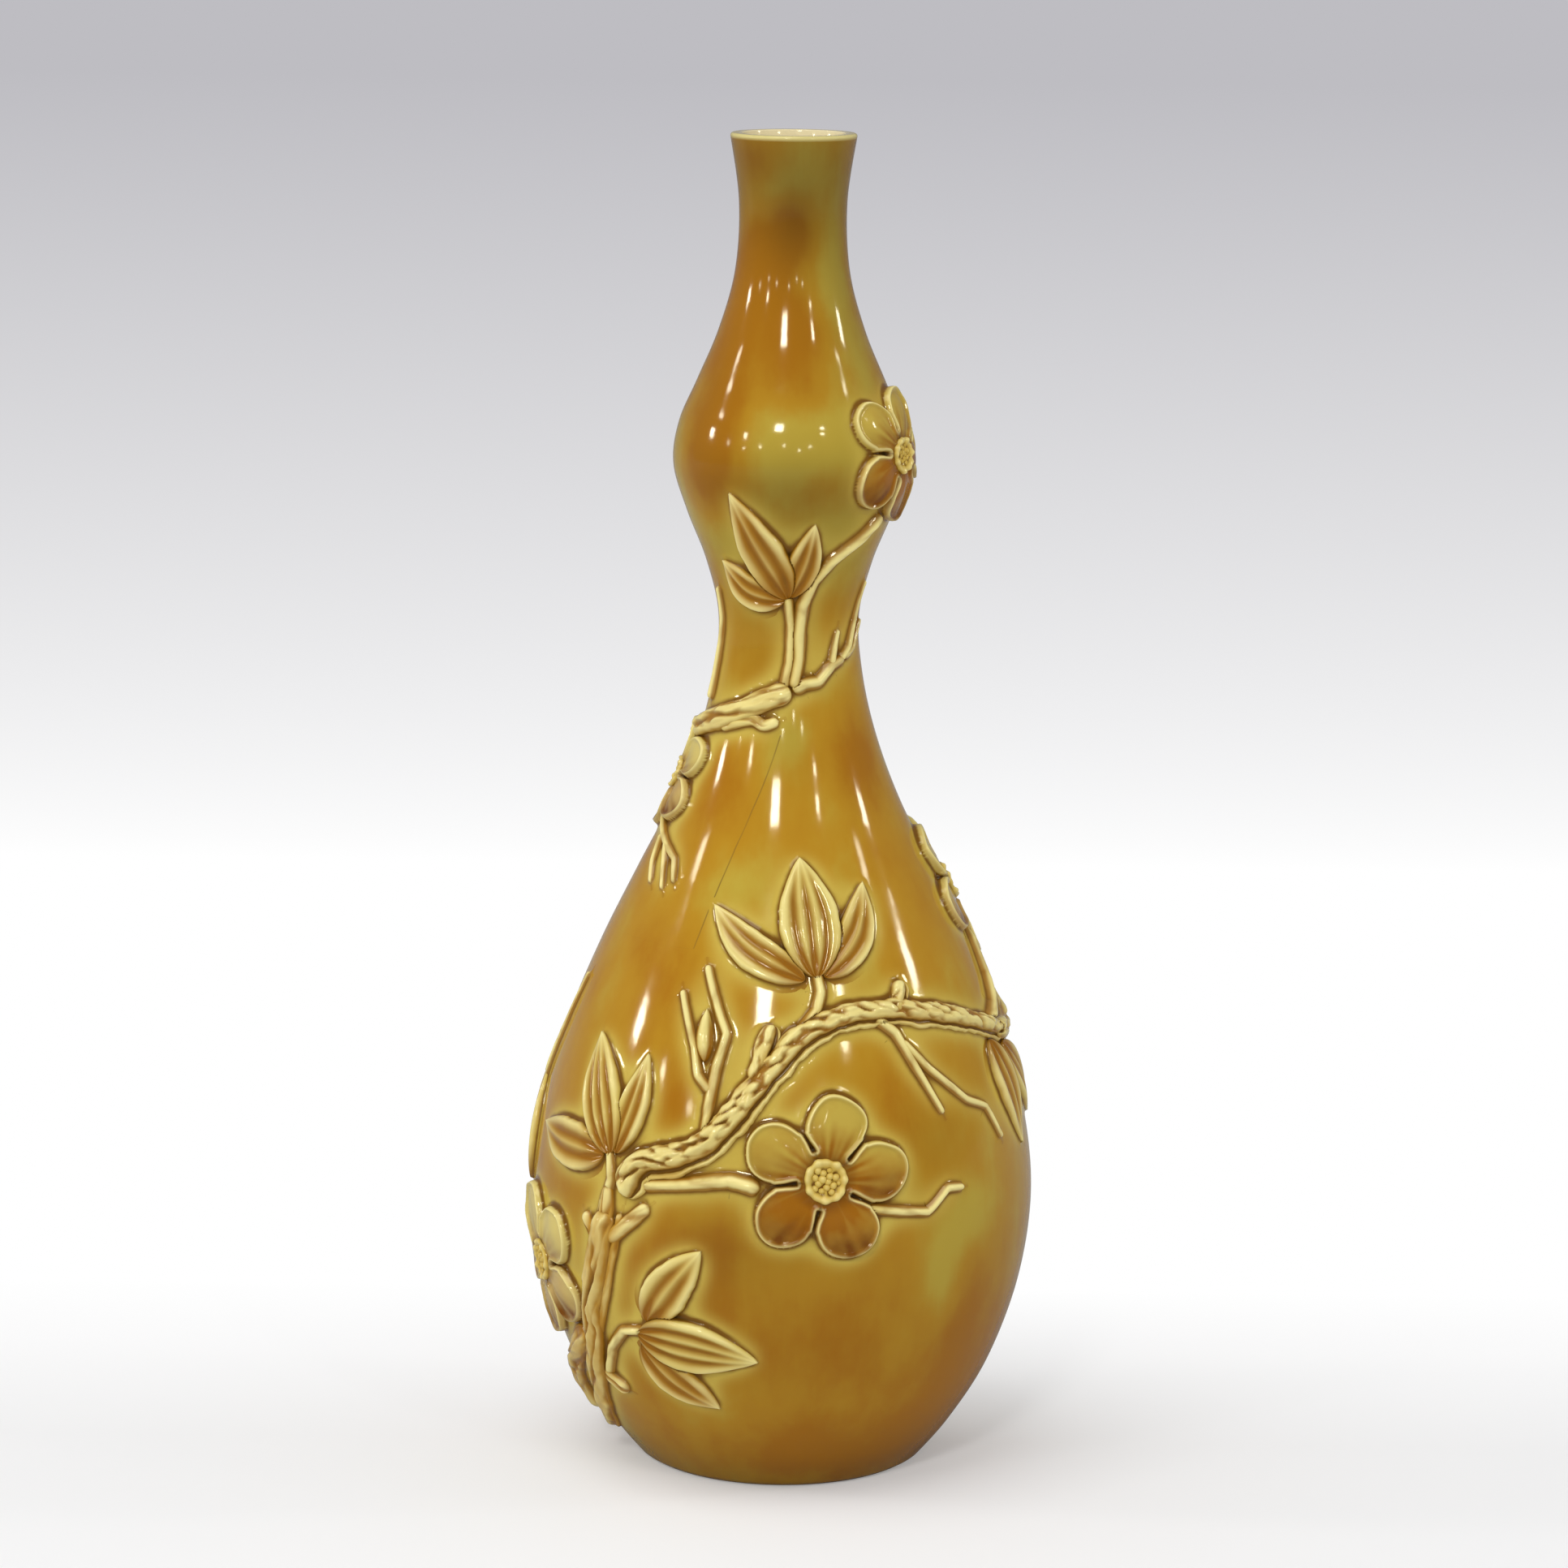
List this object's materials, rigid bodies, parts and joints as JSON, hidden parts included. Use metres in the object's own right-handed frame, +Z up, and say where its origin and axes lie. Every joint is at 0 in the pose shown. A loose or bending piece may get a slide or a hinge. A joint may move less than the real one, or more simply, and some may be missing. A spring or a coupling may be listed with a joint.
{
  "type": "double-gourd vase",
  "caption": "Double-gourd earthenware vase with a flared neck, amber and olive glaze, and a prunus branch with leaves and blossoms applied in relief.",
  "frame": {"origin": "centre of the flat base, on the surface that the vase stands on", "axes": "+Z up along the vase's axis; -Y faces the side with the front blossom; +X to the right seen from there"},
  "size_m": [0.1228, 0.1245, 0.3202],
  "materials": {
    "body_glaze": "translucent amber glaze mottled with olive, high gloss",
    "leaf_glaze": "amber glaze thin and pale on the ribs, pooled brown in the grooves, high gloss",
    "bark_glaze": "amber glaze over ridged bark, pale on the ridges, high gloss",
    "petal_glaze": "amber glaze pooled in cupped petals, pale on the rims, high gloss",
    "stamen_glaze": "thin pale amber glaze on a dotted dome, high gloss"
  },
  "bodies": {
    "root": {"lower_gourd": "body_glaze", "upper_gourd": "body_glaze", "back_blossom": "petal_glaze", "back_bough": "bark_glaze", "back_leaf_left": "leaf_glaze", "back_leaf_middle": "leaf_glaze", "back_leaf_right": "leaf_glaze", "back_shoulder_leaf_left": "leaf_glaze", "back_shoulder_leaf_long": "leaf_glaze", "back_shoulder_leaf_right": "leaf_glaze", "back_shoulder_stem": "bark_glaze", "back_stamens": "stamen_glaze", "back_stem": "bark_glaze", "back_twig": "bark_glaze", "blossom_twig_left": "bark_glaze", "blossom_twig_right": "bark_glaze", "centre_leaf_left": "leaf_glaze", "centre_leaf_middle": "leaf_glaze", "centre_leaf_right": "leaf_glaze", "centre_stem": "bark_glaze", "edge_leaf_back": "leaf_glaze", "edge_leaf_front": "leaf_glaze", "forked_twig": "bark_glaze", "front_blossom": "petal_glaze", "front_stamens": "stamen_glaze", "hanging_twig": "bark_glaze", "left_edge_twig": "bark_glaze", "left_leaf_left": "leaf_glaze", "left_leaf_middle": "leaf_glaze", "left_leaf_right": "leaf_glaze", "left_stem": "bark_glaze", "low_blossom": "petal_glaze", "low_leaf_middle": "leaf_glaze", "low_leaf_under": "leaf_glaze", "low_leaf_upper": "leaf_glaze", "low_stamens": "stamen_glaze", "low_stem": "bark_glaze", "main_bough": "bark_glaze", "right_leaf_hanging": "leaf_glaze", "right_blossom": "petal_glaze", "right_stamens": "stamen_glaze", "right_leaf_trailing": "leaf_glaze", "right_riser": "bark_glaze", "right_twig": "bark_glaze", "shoulder_blossom": "petal_glaze", "shoulder_branch": "bark_glaze", "shoulder_leaf_left": "leaf_glaze", "shoulder_leaf_long": "leaf_glaze", "shoulder_leaf_right": "leaf_glaze", "shoulder_stamens": "stamen_glaze", "shoulder_stem": "bark_glaze", "trunk": "bark_glaze", "twig_bud": "leaf_glaze", "waist_blossom": "petal_glaze", "waist_branch": "bark_glaze", "waist_side_twig": "bark_glaze", "waist_stamens": "stamen_glaze", "waist_twig": "bark_glaze"}
  },
  "joints": []
}
